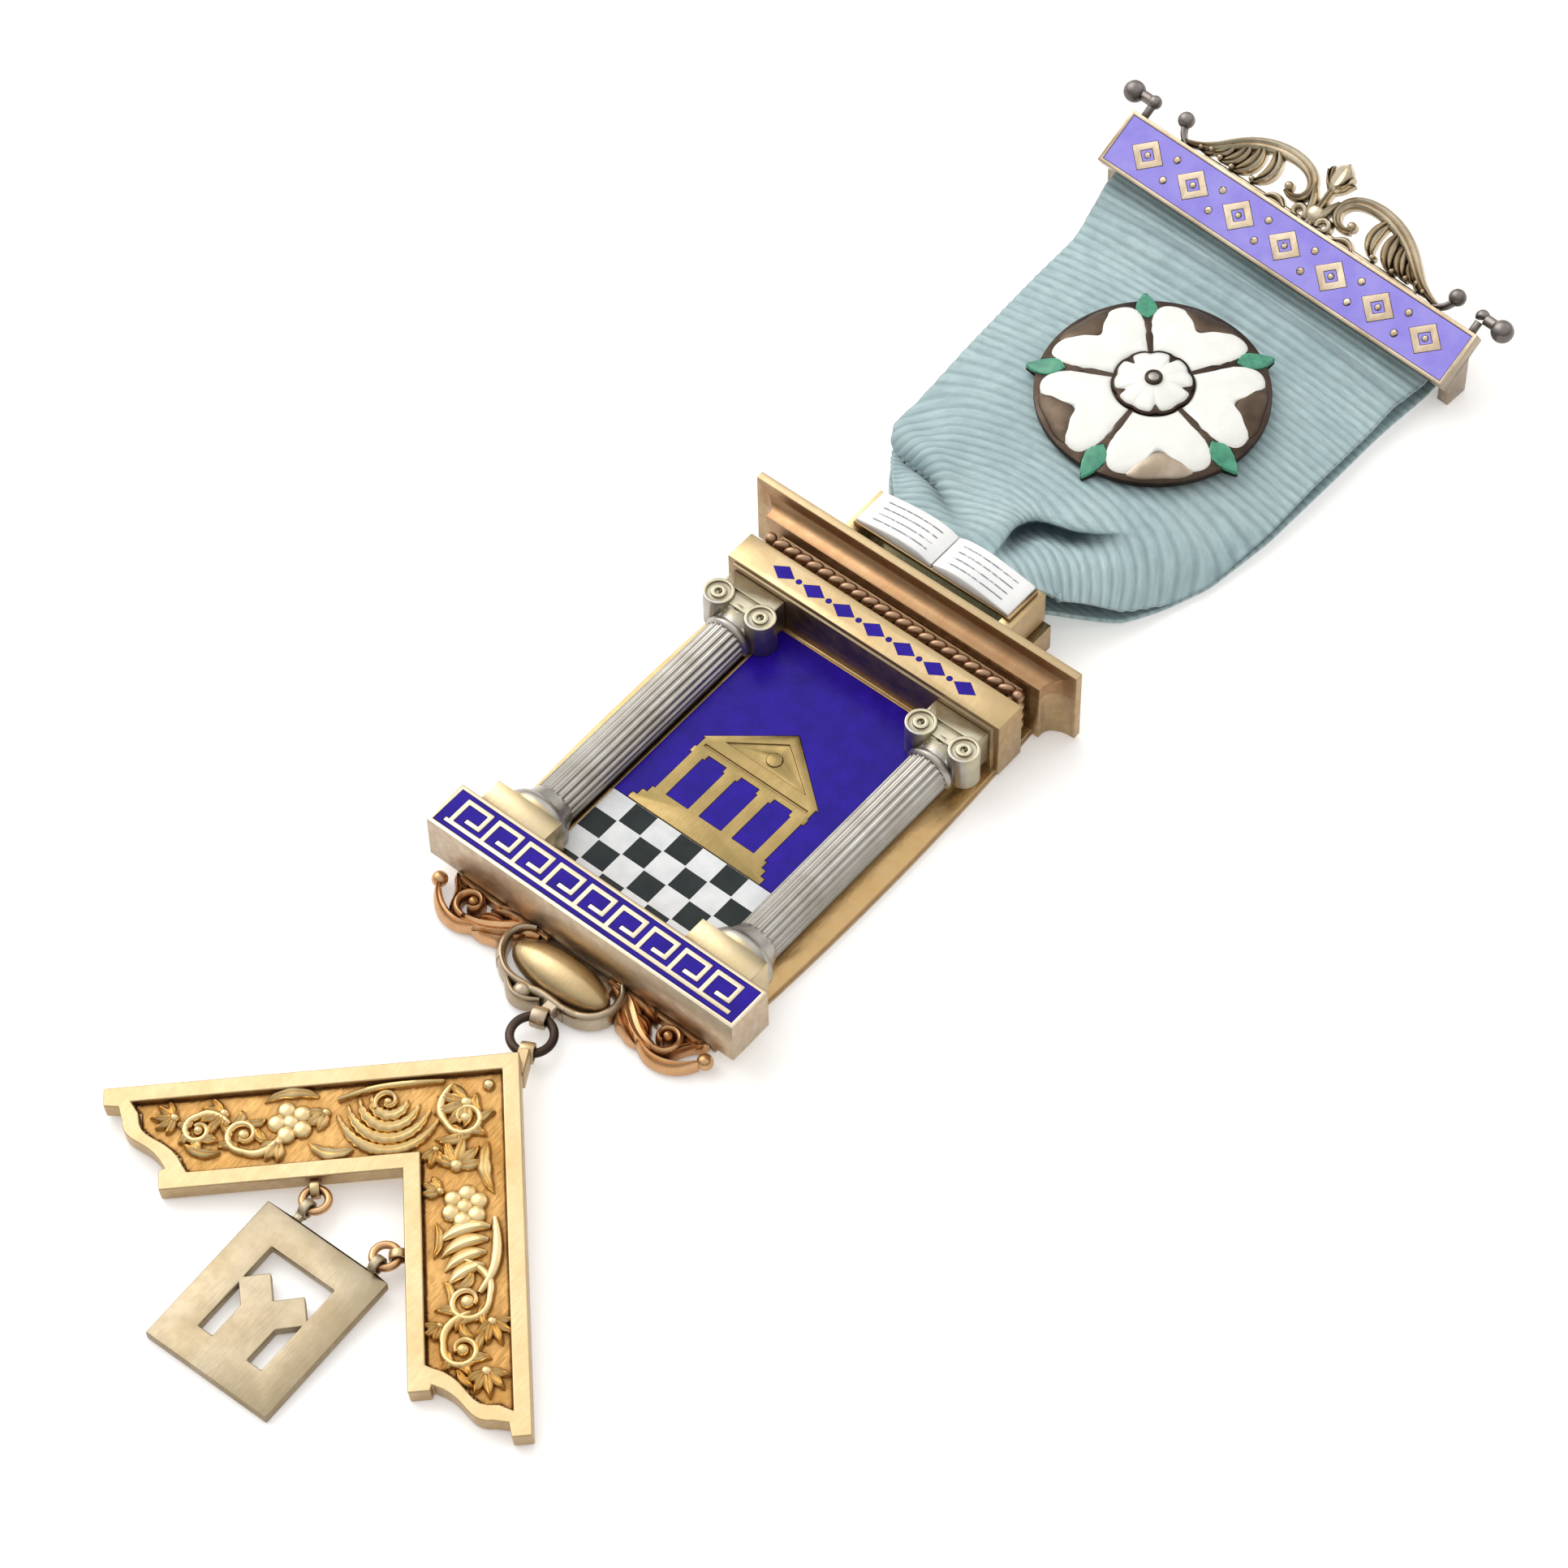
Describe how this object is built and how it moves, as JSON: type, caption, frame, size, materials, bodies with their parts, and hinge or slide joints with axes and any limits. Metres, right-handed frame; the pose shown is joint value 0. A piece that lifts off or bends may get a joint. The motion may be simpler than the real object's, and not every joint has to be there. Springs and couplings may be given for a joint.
{
  "type": "masonic jewel",
  "caption": "Breast jewel lying on its back: gilt and enamel temple on a looped ribbon with a rose and a brooch bar, a square and a pierced plate linked below.",
  "frame": {"origin": "middle of the temple's flat back", "axes": "+X to the wearer's left as seen from the front, +Y up the jewel to the brooch bar, +Z out of the front"},
  "size_m": [0.0503, 0.159, 0.01],
  "materials": {
    "gilt_metal": "polished gilding over silver, softly worn",
    "pale_gilt_metal": "pale worn gilding over silver",
    "rose_gilt_metal": "warm reddish gilding",
    "dark_metal": "tarnished silver, dark in the hollows",
    "grey_metal": "plain grey metal",
    "blue_enamel": "royal blue fired enamel, glossy",
    "lilac_enamel": "lilac fired enamel, glossy",
    "white_enamel": "white fired enamel, glossy",
    "black_enamel": "black fired enamel, glossy",
    "green_enamel": "green fired enamel, glossy",
    "ribbon_cloth": "pale blue ribbed silk, softly shiny"
  },
  "bodies": {
    "root": {"brooch_bar": "pale_gilt_metal", "brooch_enamel": "lilac_enamel", "brooch_pin": "pale_gilt_metal", "ribbon": "ribbon_cloth", "rose_setting": "dark_metal", "rose_petal_1": "white_enamel", "rose_petal_2": "white_enamel", "rose_petal_3": "white_enamel", "rose_petal_4": "white_enamel", "rose_petal_5": "white_enamel", "rose_heart": "white_enamel", "rose_stud": "grey_metal", "rose_sepal_1": "green_enamel", "rose_sepal_2": "green_enamel", "rose_sepal_3": "green_enamel", "rose_sepal_4": "green_enamel", "rose_sepal_5": "green_enamel", "ribbon_bail": "gilt_metal", "book_cover": "gilt_metal", "page_left": "white_enamel", "page_right": "white_enamel", "temple_body": "gilt_metal", "column_left": "pale_gilt_metal", "column_right": "pale_gilt_metal", "field_enamel": "blue_enamel", "pavement_black": "black_enamel", "pavement_white": "white_enamel", "frieze_enamel": "blue_enamel", "bar_enamel": "blue_enamel", "drop_ornament": "rose_gilt_metal", "boss": "gilt_metal", "jump_ring": "dark_metal", "set_square": "gilt_metal", "plate_ring_left": "rose_gilt_metal", "plate_ring_right": "rose_gilt_metal", "plate": "pale_gilt_metal"}
  },
  "joints": []
}
